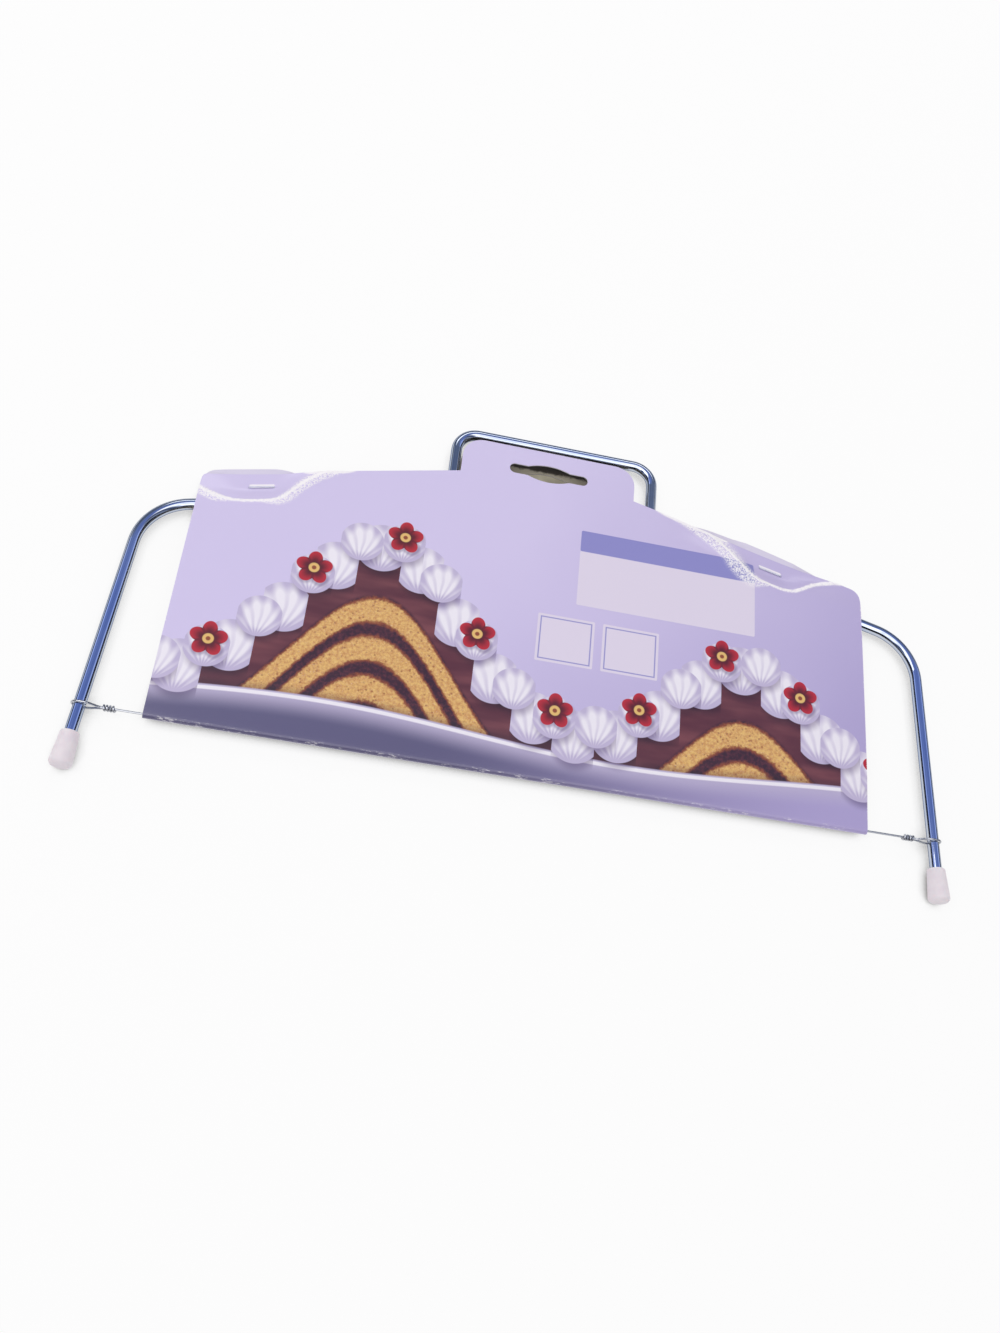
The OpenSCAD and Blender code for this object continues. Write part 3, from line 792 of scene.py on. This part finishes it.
def rounded_box(n, x, y, centre, half, r):
    """Distance outside a rounded rectangle."""
    dx = n.sub(n.absolute(n.sub(x, centre[0])), half[0] - r)
    dy = n.sub(n.absolute(n.sub(y, centre[1])), half[1] - r)
    out = n.length(n.maximum(dx, 0.0), n.maximum(dy, 0.0))
    return n.sub(n.add(out, n.minimum(n.maximum(dx, dy), 0.0)), r)


def ground_colour(n, x, y, place):
    """Lavender, a little cloudy, and deeper towards the lower right, partly as printed and partly as
    painted shade.
    """
    fall = n.add(n.add(n.mul(x, GROUND_FALL_X), n.mul(y, GROUND_FALL_Y)), GROUND_DEPTH)
    cloud = n.sway(place, 0.5, scale=0.012)
    return n.mix(n.clamp01(n.add(fall, cloud)), LAVENDER, DEEP_LAVENDER)


def crumb_colour(n, place):
    """Golden crumb with darker pores and pale grains."""
    grain = n.fade(n.noise(place, scale=0.9, detail=5.0, roughness=0.7), 0.36, 0.64)
    pores = n.mul(n.fade(n.cells(place, scale=0.55), 0.32, 0.08), 0.7)
    pale = n.mul(n.fade(n.noise(place, scale=2.6, detail=3.0, roughness=0.7), 0.58, 0.7), 0.35)
    crumb = n.mix(pores, n.mix(grain, SPONGE, YELLOW_SPONGE), CRUST)
    return n.mix(pale, crumb, CREAM)


def hill_colour(n, deep, place):
    """A smooth dark coat over layers of crumb, whose edges are ragged."""
    torn = n.add(deep, n.sway(place, 3.4, scale=0.55, detail=4.0, roughness=0.7))
    sheen = n.fade(n.noise(n.stretched(place, (0.22, 1.0, 1.0)), scale=0.16), 0.35, 0.8)
    coat = n.mix(sheen, CHOCOLATE, LIT_CHOCOLATE)
    cloudy = n.fade(n.noise(place, scale=0.8, detail=4.0, roughness=0.6), 0.4, 0.7)
    filling = n.mix(cloudy, DARK_CHOCOLATE, CHOCOLATE)
    crumb = crumb_colour(n, place)
    colour = n.mix(n.fade(deep, COAT - COAT_BLEND, COAT), coat, filling)
    for k in range(LAYERS):
        start = COAT + k * (LAYER + FILLING)
        band = n.minimum(n.sub(torn, start), n.sub(start + LAYER, torn))
        colour = n.mix(n.mul(n.fade(band, *CRUST_BAND), 0.9), colour, CRUST)
        colour = n.mix(n.fade(band, *CRUMB_BAND), colour, crumb)
    return colour


def add_frill(n, art, x, y):
    """Two rows of ribbed cream shells along the crest, with their soft shadow on what is under them."""
    for shift, radius, sink in FRILL_ROWS:
        dx, dy = nearest_on_crest(n, x, y, FRILL_PITCH, shift, sink)
        under = n.length(n.sub(dx, SHELL_SHADOW_RIGHT), n.add(dy, SHELL_SHADOW_DOWN))
        shadow = n.fade(under, radius + SHELL_SHADOW_OUT, radius - SHELL_SHADOW_IN)
        art = n.darken(n.mul(shadow, 0.6), art, SHADOW)
        away = n.length(dx, dy)
        turn = n.math("ARCTAN2", dx, n.add(dy, radius * 1.1))
        ribs = n.math("SINE", n.add(n.mul(turn, SHELL_RIBS), n.mul(away, SHELL_TWIST)))
        dim = n.add(n.fade(away, radius * 0.45, radius), n.mul(n.add(ribs, 0.3), 0.3))
        dim = n.add(dim, n.mul(dy, -0.03))
        cream = n.mix(n.mul(n.clamp01(dim), 0.7), CREAM, CREAM_SHADE)
        art = n.mix(n.fade(away, radius + SOFT, radius - SOFT), art, cream)
    return art


def add_flowers(n, art, x, y):
    """Red five-petalled flowers on the frill."""
    dx, dy = nearest_on_crest(n, x, y, FLOWER_PITCH, FRILL_PITCH / 2, -FLOWER_RISE)
    away = n.length(dx, dy)
    lobes = n.absolute(n.math("COSINE", n.mul(n.math("ARCTAN2", dx, dy), PETALS / 2)))
    rim = n.mul(n.add(n.mul(lobes, 0.34), 0.66), FLOWER_R)
    under = n.length(n.sub(dx, FLOWER_SHADOW_RIGHT), n.add(dy, FLOWER_SHADOW_DOWN))
    under = n.sub(under, rim)
    shadow = n.fade(under, FLOWER_SHADOW_BLUR, -FLOWER_SHADOW_BLUR)
    art = n.darken(n.mul(shadow, 0.55), art, SHADOW)
    petal = n.mix(n.fade(n.div(away, rim), 0.35, 1.0), DARK_RED, RED)
    petal = n.mix(n.mul(n.fade(lobes, 0.55, 0.1), 0.8), petal, DARK_RED)
    petal = n.mix(n.fade(away, *FLOWER_EYE), petal, YELLOW_SPONGE)
    petal = n.mix(n.fade(away, *EYE_DOT), petal, CRUST)
    return n.mix(n.fade(n.sub(away, rim), SOFT, -SOFT), art, petal)


def add_blank_label(n, art, x, y):
    """A ribbon over a blank label, and two small blank panels with thin frames."""
    for centre, half, fill in (LABEL_BOX, RIBBON_BOX):
        art = n.mix(n.fade(rounded_box(n, x, y, centre, half, LABEL_R), CRISP, -CRISP), art, fill)
    for centre in PANEL_MIDDLES:
        panel = rounded_box(n, x, y, centre, PANEL_HALF, PANEL_R)
        art = n.mix(n.fade(panel, CRISP, -CRISP), art, LABEL)
        frame_line = n.fade(n.absolute(n.add(panel, FRAME_INSET)), *FRAME_LINE)
        art = n.mix(n.mul(frame_line, 0.9), art, PERIWINKLE)
    return art


def printed_colour(n, x, y, place):
    """The card's printed face: layered hills with a frill and flowers, a pale foot and a blank label."""
    deep = n.sub(hills(n, x), y)
    art = n.mix(n.fade(deep, -SOFT, SOFT), ground_colour(n, x, y, place), hill_colour(n, deep, place))
    wave = n.math("SINE", n.mul(n.add(x, FOOT_WAVE_SHIFT), FOOT_WAVE_RATE))
    foot = n.add(n.sub(y, FOOT_H), n.mul(wave, FOOT_WAVE))
    art = n.darken(n.mul(n.fade(foot, *FOOT_SHADOW), 0.5), art, SHADOW)
    deep_foot = n.mix(n.fade(x, *FOOT_SHADED_END), SHADED_PLATE, DEEP_LAVENDER)
    foot_colour = n.mix(n.fade(foot, *FOOT_PALES), deep_foot, PLATE)
    art = n.mix(n.fade(foot, 2 * SOFT, -2 * SOFT), art, foot_colour)
    art = n.mix(n.fade(n.absolute(n.add(foot, FOOT_LINE_AT)), *FOOT_LINE), art, CREAM)
    art = add_frill(n, art, x, y)
    art = add_flowers(n, art, x, y)
    return add_blank_label(n, art, x, y)


# Materials
def paper_height(n, place, worn):
    """Height in millimetres: paper fibres, wide soft waves and the crumpled coat on the creases."""
    fibres = n.noise(n.stretched(place, (1.0, 0.55, 1.0)), scale=2.2, detail=4.0, roughness=0.6)
    waves = n.noise(place, scale=0.045)
    crumple = n.mul(n.noise(place, scale=0.75, detail=3.0, roughness=0.65), worn)
    return n.add(n.add(n.mul(fibres, 0.012), n.mul(waves, 0.35)), n.mul(crumple, 1.5))


def worn_edges(n, x, y, place):
    """White cracks in the coat and rubbed specks, thickest on the fold and thin along the side edges."""
    to_fold = n.sub(y, WIRE_H - FOLD_R)
    to_sides = n.minimum(n.sub(x, CARD_LEFT), n.sub(CARD_RIGHT, x))
    edge = n.minimum(n.mul(to_fold, FOLD_WEIGHT), n.mul(to_sides, SIDE_WEIGHT))
    lines = n.noise(n.stretched(place, (0.35, 1.6, 1.0)), scale=1.3, detail=4.0, roughness=0.7)
    crack = n.add(lines, n.mul(n.noise(place, scale=0.12), 0.5))
    cracks = n.mul(n.mul(n.fade(edge, *CRACKED), n.fade(crack, 0.8, 0.98)), 0.7)
    specks = n.fade(n.noise(place, scale=2.4, detail=3.0, roughness=0.7), 0.7, 0.8)
    return cracks, n.mul(n.mul(n.fade(edge, *SPECKED), specks), 0.4)


def add_crease_wear_and_highlights(n, white, place, bent):
    """White on the creases round the staples: cracked coat with a painted highlight line, painted glints
    where the coat is crumpled, and painted highlights on the rims.
    """
    wobble = n.sway(place, 0.12, scale=0.5, detail=3.0, roughness=0.6)
    off_crease = n.absolute(n.add(n.sub(n.attribute("pinch"), WHITE_LINE_AT), wobble))
    gaps = n.fade(n.noise(place, scale=0.8, detail=3.0, roughness=0.7), 0.35, 0.6)
    line = n.mul(n.fade(off_crease, *WHITE_LINE), n.add(n.mul(gaps, 0.5), 0.5))
    flecks = n.fade(n.noise(place, scale=1.7, detail=4.0, roughness=0.75), 0.42, 0.54)
    # Painted glints: white flecks where the coat is crumpled
    painted_glints = n.mul(n.fade(bent, 0.1, 0.6), flecks)
    rim = n.fade(n.add(n.attribute("rim"), wobble), *RIM_HIGHLIGHT_FADE)
    white = n.add(white, line)
    return n.add(white, n.add(n.mul(painted_glints, 0.9), n.mul(rim, 0.9)))


def board_material(name, printed):
    """Coated paperboard with a worn fold. The printed side is glossy, the other side is plain. On the
    printed side, highlights on the creases and rims are painted white.
    """
    n = material_nodes(name)
    place = n.place()
    x, from_middle, _ = n.apart(place)
    y = n.sub(from_middle, FOOT_Y)
    cracks, specks = worn_edges(n, x, y, place)
    white = n.add(cracks, specks)
    bent = n.attribute("crumpled")
    if printed:
        colour = printed_colour(n, x, y, place)
        white = add_crease_wear_and_highlights(n, white, place, bent)
    else:
        colour = n.mix(n.noise(place, scale=0.02), PLAIN_COAT, SHADED_COAT)
    rough = n.add(0.34 if printed else 0.42, n.mul(n.noise(place, scale=0.09, detail=3.0), 0.12))
    return n.principled(
        # White for the cracks and specks of wear, and for the painted highlights on the printed side
        Base_Color=n.mix(n.clamp01(white), colour, WHITE_OF_WEAR_AND_HIGHLIGHTS),
        Roughness=n.add(rough, n.mul(cracks, 0.3)),
        Normal=n.bump(paper_height(n, place, bent), strength=0.35, distance=0.001),
        Coat_Weight=0.6 if printed else 0.0,
        Coat_Roughness=0.14,
    )


def raw_board_material(name, pale, dark, lower=None):
    """Bare board. Where a lower colour is given, the pale and dark colours are painted shade inside the
    card, and up to just above the hanging slot it has the lower colour.
    """
    n = material_nodes(name)
    place = n.place()
    grain = n.noise(n.stretched(place, (0.4, 1.0, 3.0)), scale=2.6, detail=4.0, roughness=0.7)
    colour = n.mix(grain, dark, pale)
    if lower:
        _, y, _ = n.apart(place)
        ragged = n.add(y, n.sway(place, 3.0, scale=0.35, detail=3.0, roughness=0.7))
        slot_y = SLOT_Y + FOOT_Y
        colour = n.mix(n.fade(ragged, slot_y + PAINTED_SHADE_FROM, slot_y + PALE_TO), colour, lower)
    return n.principled(
        Base_Color=colour,
        Roughness=0.85,
        Normal=n.bump(grain, strength=0.3, distance=0.0001),
    )


def chrome_material():
    """Bright plating, a little cloudy, with small pits, and a dark blue edge tint that paints dark
    reflections at grazing angles.
    """
    n = material_nodes("chrome")
    place = n.place()
    cloudy = n.noise(place, scale=0.05, detail=3.0)
    fine = n.noise(place, scale=3.0, detail=3.0)
    tint = n.mix(n.fade(cloudy, 0.4, 0.62), CLOUDED_CHROME, CHROME)
    pits = n.mul(n.fade(n.noise(place, scale=1.6, detail=3.0, roughness=0.7), 0.68, 0.76), 0.3)
    height = n.add(n.mul(fine, 0.004), n.mul(cloudy, 0.4))
    return n.principled(
        Base_Color=n.mix(pits, tint, PITS),
        Metallic=1.0,
        # Painted dark reflection at the grazing edges
        Specular_Tint=CHROME_PAINTED_DARK_EDGE,
        Roughness=n.add(0.035, n.mul(fine, 0.05)),
        Normal=n.bump(height, strength=0.25, distance=0.001),
    )


def steel_material(name, dark, pale, rough):
    """Drawn steel wire, with fine lines along X."""
    n = material_nodes(name)
    lines = n.stretched(n.place(), (0.6, 4.0, 4.0))
    drawn = n.noise(lines, scale=1.4, detail=3.0, roughness=0.6)
    return n.principled(
        Base_Color=n.mix(drawn, dark, pale),
        Metallic=1.0,
        Roughness=n.add(rough, n.mul(drawn, 0.12)),
        Normal=n.bump(drawn, strength=0.12, distance=0.0002),
    )


def vinyl_material():
    """Soft pale vinyl, a little cloudy and dusty."""
    n = material_nodes("vinyl")
    place = n.place()
    cloudy = n.noise(place, scale=0.22, detail=3.0)
    dust = n.fade(n.noise(place, scale=1.8, detail=4.0, roughness=0.7), 0.6, 0.75)
    colour = n.mix(n.fade(cloudy, 0.3, 0.7), CLOUDED_VINYL, VINYL)
    height = n.add(n.mul(cloudy, 0.4), n.mul(dust, 0.05))
    return n.principled(
        Base_Color=n.mix(n.mul(dust, 0.06), colour, DUST),
        Roughness=n.add(0.36, n.mul(cloudy, 0.15)),
        Subsurface_Weight=0.35,
        Subsurface_Radius=(1.0, 0.8, 0.8),
        Subsurface_Scale=0.0012,
        Normal=n.bump(height, strength=0.12, distance=0.0004),
    )


# The floor's deep shade under the tab: its middle, off the slot's, its halves and its soft edge
TAB_SHADE_SHIFT, TAB_SHADE_HALF, TAB_SHADE_EDGE = (1.0, 3.0), (20.0, 7.5), (1.15, 0.95)
# The shade next to the object: its reach in metres, its samples and its fade
CONTACT_DISTANCE, CONTACT_SAMPLES, CONTACT_FADE = 7 * MM, 8, (0.05, 0.75)
# How much of the floor's white is its own glow, to the camera and in reflections
FLOOR_GLOW_SHARE = 0.88


def floor_material():
    """White to the camera and in reflections, with the object's soft shadow."""
    n = material_nodes("floor")
    covered = n.new("ShaderNodeAmbientOcclusion", samples=CONTACT_SAMPLES)
    covered.inputs["Distance"].default_value = CONTACT_DISTANCE
    contact = n.mix(n.fade(covered.outputs["AO"], *CONTACT_FADE), FLOOR_CONTACT, WHITE)
    # Deep shade under the tab, where the floor shows through the hanging slot
    place = n.place()
    x, y, _ = n.apart(place)
    across = n.div(n.sub(x, SLOT_X + TAB_SHADE_SHIFT[0]), TAB_SHADE_HALF[0])
    along = n.div(n.sub(y, SLOT_Y + FOOT_Y + TAB_SHADE_SHIFT[1]), TAB_SHADE_HALF[1])
    under_tab = n.fade(n.length(across, along), *TAB_SHADE_EDGE)
    tab_shade = n.mix(n.noise(place, scale=0.12, detail=3.0), TAB_SHADE, DEEP_TAB_SHADE)
    glow = n.filled(n.new("ShaderNodeEmission"), (n.mix(under_tab, contact, tab_shade),))
    lit = n.filled(n.new("ShaderNodeBsdfDiffuse"), (n.mix(under_tab, FLOOR_WHITE, tab_shade),))
    path = n.new("ShaderNodeLightPath")
    seen = n.maximum(path.outputs["Is Camera Ray"], path.outputs["Is Glossy Ray"])
    return n.surface(n.shader_mix(n.mul(seen, FLOOR_GLOW_SHARE), lit, glow))


# Pieces
def dress(node, material):
    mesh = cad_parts[node].data
    for i in range(len(mesh.materials)):
        mesh.materials[i] = material


def add_to_scene(item):
    bpy.context.scene.collection.objects.link(item)
    return item


chrome, vinyl = chrome_material(), vinyl_material()
wire_steel = steel_material("wire_steel", WIRE_DARK, WIRE_PALE, rough=0.24)
staple_steel = steel_material("staple_steel", STAPLE_DARK, STAPLE_PALE, rough=0.42)
for finish, nodes in (
    (chrome, ("left_leg", "right_leg", "handle")),
    (vinyl, ("left_foot_cap", "right_foot_cap")),
    (wire_steel, ("cutting_wire",)),
    (staple_steel, ("left_staple", "right_staple")),
):
    for node_name in nodes:
        dress(node_name, finish)

SHARP_EDGE = math.radians(40)


def card_object():
    sheet = card_sheet()
    mesh = bpy.data.meshes.new("card_sheet")
    mesh.from_pydata(sheet.points, [], sheet.faces)
    for mark, values in sheet.marks.items():
        mesh.attributes.new(mark, "FLOAT", "POINT").data.foreach_set("value", values)
    # One material for each of PRINT, PLAIN, INSIDE and EDGE, in that order
    mesh.materials.append(board_material("card_print", True))
    mesh.materials.append(board_material("card_back", False))
    # The bare inside: pale board below the hanging slot, with painted shade from just above it upwards
    mesh.materials.append(raw_board_material("card_inside", PAINTED_SHADE_BOARD, DEEP_PAINTED_SHADE_BOARD, PALE_BOARD))
    mesh.materials.append(raw_board_material("card_edge", CUT_EDGE, SHADED_EDGE))
    for polygon, slot in zip(mesh.polygons, sheet.slots):
        polygon.material_index = slot
    mesh.shade_smooth()
    mesh.set_sharp_from_angle(angle=SHARP_EDGE)
    return add_to_scene(bpy.data.objects.new("card_sheet", mesh))


card = card_object()
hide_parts("card")
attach(card, "frame")

# Floor, light and camera

# Half the floor's width, and how far it lies under the object, in metres
FLOOR_HALF, FLOOR_DROP = 3.0, 0.2 * MM


def floor_object():
    corners = [(-1, -1), (1, -1), (1, 1), (-1, 1)]
    mesh = bpy.data.meshes.new("floor")
    mesh.from_pydata([(FLOOR_HALF * x, FLOOR_HALF * y, 0) for x, y in corners], [], [range(4)])
    mesh.materials.append(floor_material())
    item = add_to_scene(bpy.data.objects.new("floor", mesh))
    item.location.z = -FLOOR_DROP
    return item


floor = floor_object()


def area_light(name, place, target, size, power, colour=WHITE):
    data = bpy.data.lights.new(name, "AREA")
    data.shape = "RECTANGLE"
    data.size, data.size_y = size
    data.energy = power
    data.color = colour
    lamp = add_to_scene(bpy.data.objects.new(name, data))
    lamp.location = place
    lamp.rotation_mode = "QUATERNION"
    lamp.rotation_quaternion = (Vector(target) - Vector(place)).to_track_quat("-Z", "Y")


# A soft lamp above to the left, and a weaker one behind for the sheen of the creases
area_light(
    "key", place=(-0.55, -0.05, 0.95), target=(-0.05, 0, 0), size=(0.6, 0.6), power=2.2,
    colour=(1.0, 0.98, 0.95))
area_light("back", place=(0.0, 0.76, 0.58), target=(0, 0, 0), size=(0.9, 0.22), power=1.1)


def grey(level):
    return (level, level, level)


# The even light of the sky
SKY = (0.74, 0.73, 0.74)
# What the chrome mirrors, by the world's directions
NEAR_DARK, OVERHEAD, BESIDE = (0.012, 0.014, 0.02), grey(1.9), (0.10, 0.13, 0.22)
BLUE, GREY_BLUE, SIDE_GLOW = (0.21, 0.29, 0.62), (0.15, 0.19, 0.29), (3.2, 2.8, 2.1)
DIM_STREAK, BRIGHT_STREAK = (0.55, 0.60, 0.75), (1.3, 1.25, 1.15)
# Where the dark blue to either side starts and ends
BESIDE_STARTS, BESIDE_ENDS = (0.28, 0.5), (0.62, 0.55)
# From behind the camera, over the object, to beyond it
FORWARD_BANDS = (
    (0.0, NEAR_DARK), (0.10, NEAR_DARK), (0.15, OVERHEAD), (0.53, OVERHEAD),
    (0.59, BLUE), (0.735, BLUE), (0.785, GREY_BLUE), (1.0, GREY_BLUE))
# From the horizon up
UPWARD_BANDS = ((0.0, grey(0.08)), (0.20, grey(0.30)), (0.38, WHITE), (1.0, WHITE))
# From the middle out to either side
SIDE_BANDS = (
    (0.0, WHITE), (0.66, WHITE), (0.71, SIDE_GLOW), (0.82, SIDE_GLOW),
    (0.87, grey(0.25)), (1.0, grey(0.12)))


def studio_world():
    """White to the camera, and a soft even sky for the light.

    Reflections see it dark towards the camera, white overhead, blue and then grey-blue beyond the
    object, and dark at the horizon. To either side it is dark blue, then bright, and dark again.
    """
    world = bpy.data.worlds.new("studio")
    n = Nodes(world, "ShaderNodeOutputWorld")
    towards = n.new("ShaderNodeTexCoord").outputs["Generated"]
    x, y, z = n.apart(towards)
    beyond = n.add(n.mul(y, 0.5), 0.5)
    sideways = n.absolute(x)
    aside = n.mul(n.fade(sideways, *BESIDE_STARTS), n.fade(beyond, *BESIDE_ENDS))
    streaks = n.noise(n.stretched(towards, (7.0, 2.0, 7.0)), scale=1.0, detail=3.0, roughness=0.6)
    mirrored = n.mix(aside, n.ramp(beyond, FORWARD_BANDS), BESIDE)
    for shade in (
        n.ramp(z, UPWARD_BANDS),
        n.ramp(sideways, SIDE_BANDS),
        n.mix(n.fade(streaks, 0.3, 0.7), DIM_STREAK, BRIGHT_STREAK),
    ):
        mirrored = n.darken(1.0, mirrored, shade)
    rays = n.new("ShaderNodeLightPath").outputs
    sky = n.shader_mix(rays["Is Glossy Ray"], n.background(SKY), n.background(mirrored))
    return n.surface(n.shader_mix(rays["Is Camera Ray"], sky, n.background(WHITE)))


bpy.context.scene.world = studio_world()

# The camera, fitted to the photograph: its focal length in the photograph's pixels, and its pose
PHOTO_LONG_SIDE, FOCAL_PX = 1333, 1200
SENSOR_W, NEAREST = 36, 10 * MM
CAMERA_PLACE = (-0.06545, -0.203135, 0.37888)
CAMERA_RIGHT, CAMERA_UP = Vector((0.97766, 0.09847, 0.18572)), Vector((-0.16907, 0.89336, 0.41632))


def fitted_camera():
    data = bpy.data.cameras.new("camera")
    data.sensor_width = SENSOR_W
    data.lens = FOCAL_PX * SENSOR_W / PHOTO_LONG_SIDE
    data.clip_start = NEAREST
    turn = Matrix((CAMERA_RIGHT, CAMERA_UP, CAMERA_RIGHT.cross(CAMERA_UP))).transposed()
    item = add_to_scene(bpy.data.objects.new("camera", data))
    item.matrix_world = Matrix.Translation(CAMERA_PLACE) @ turn.to_4x4()
    return item


bpy.context.scene.camera = fitted_camera()

bpy.context.scene.view_settings.view_transform = "Standard"
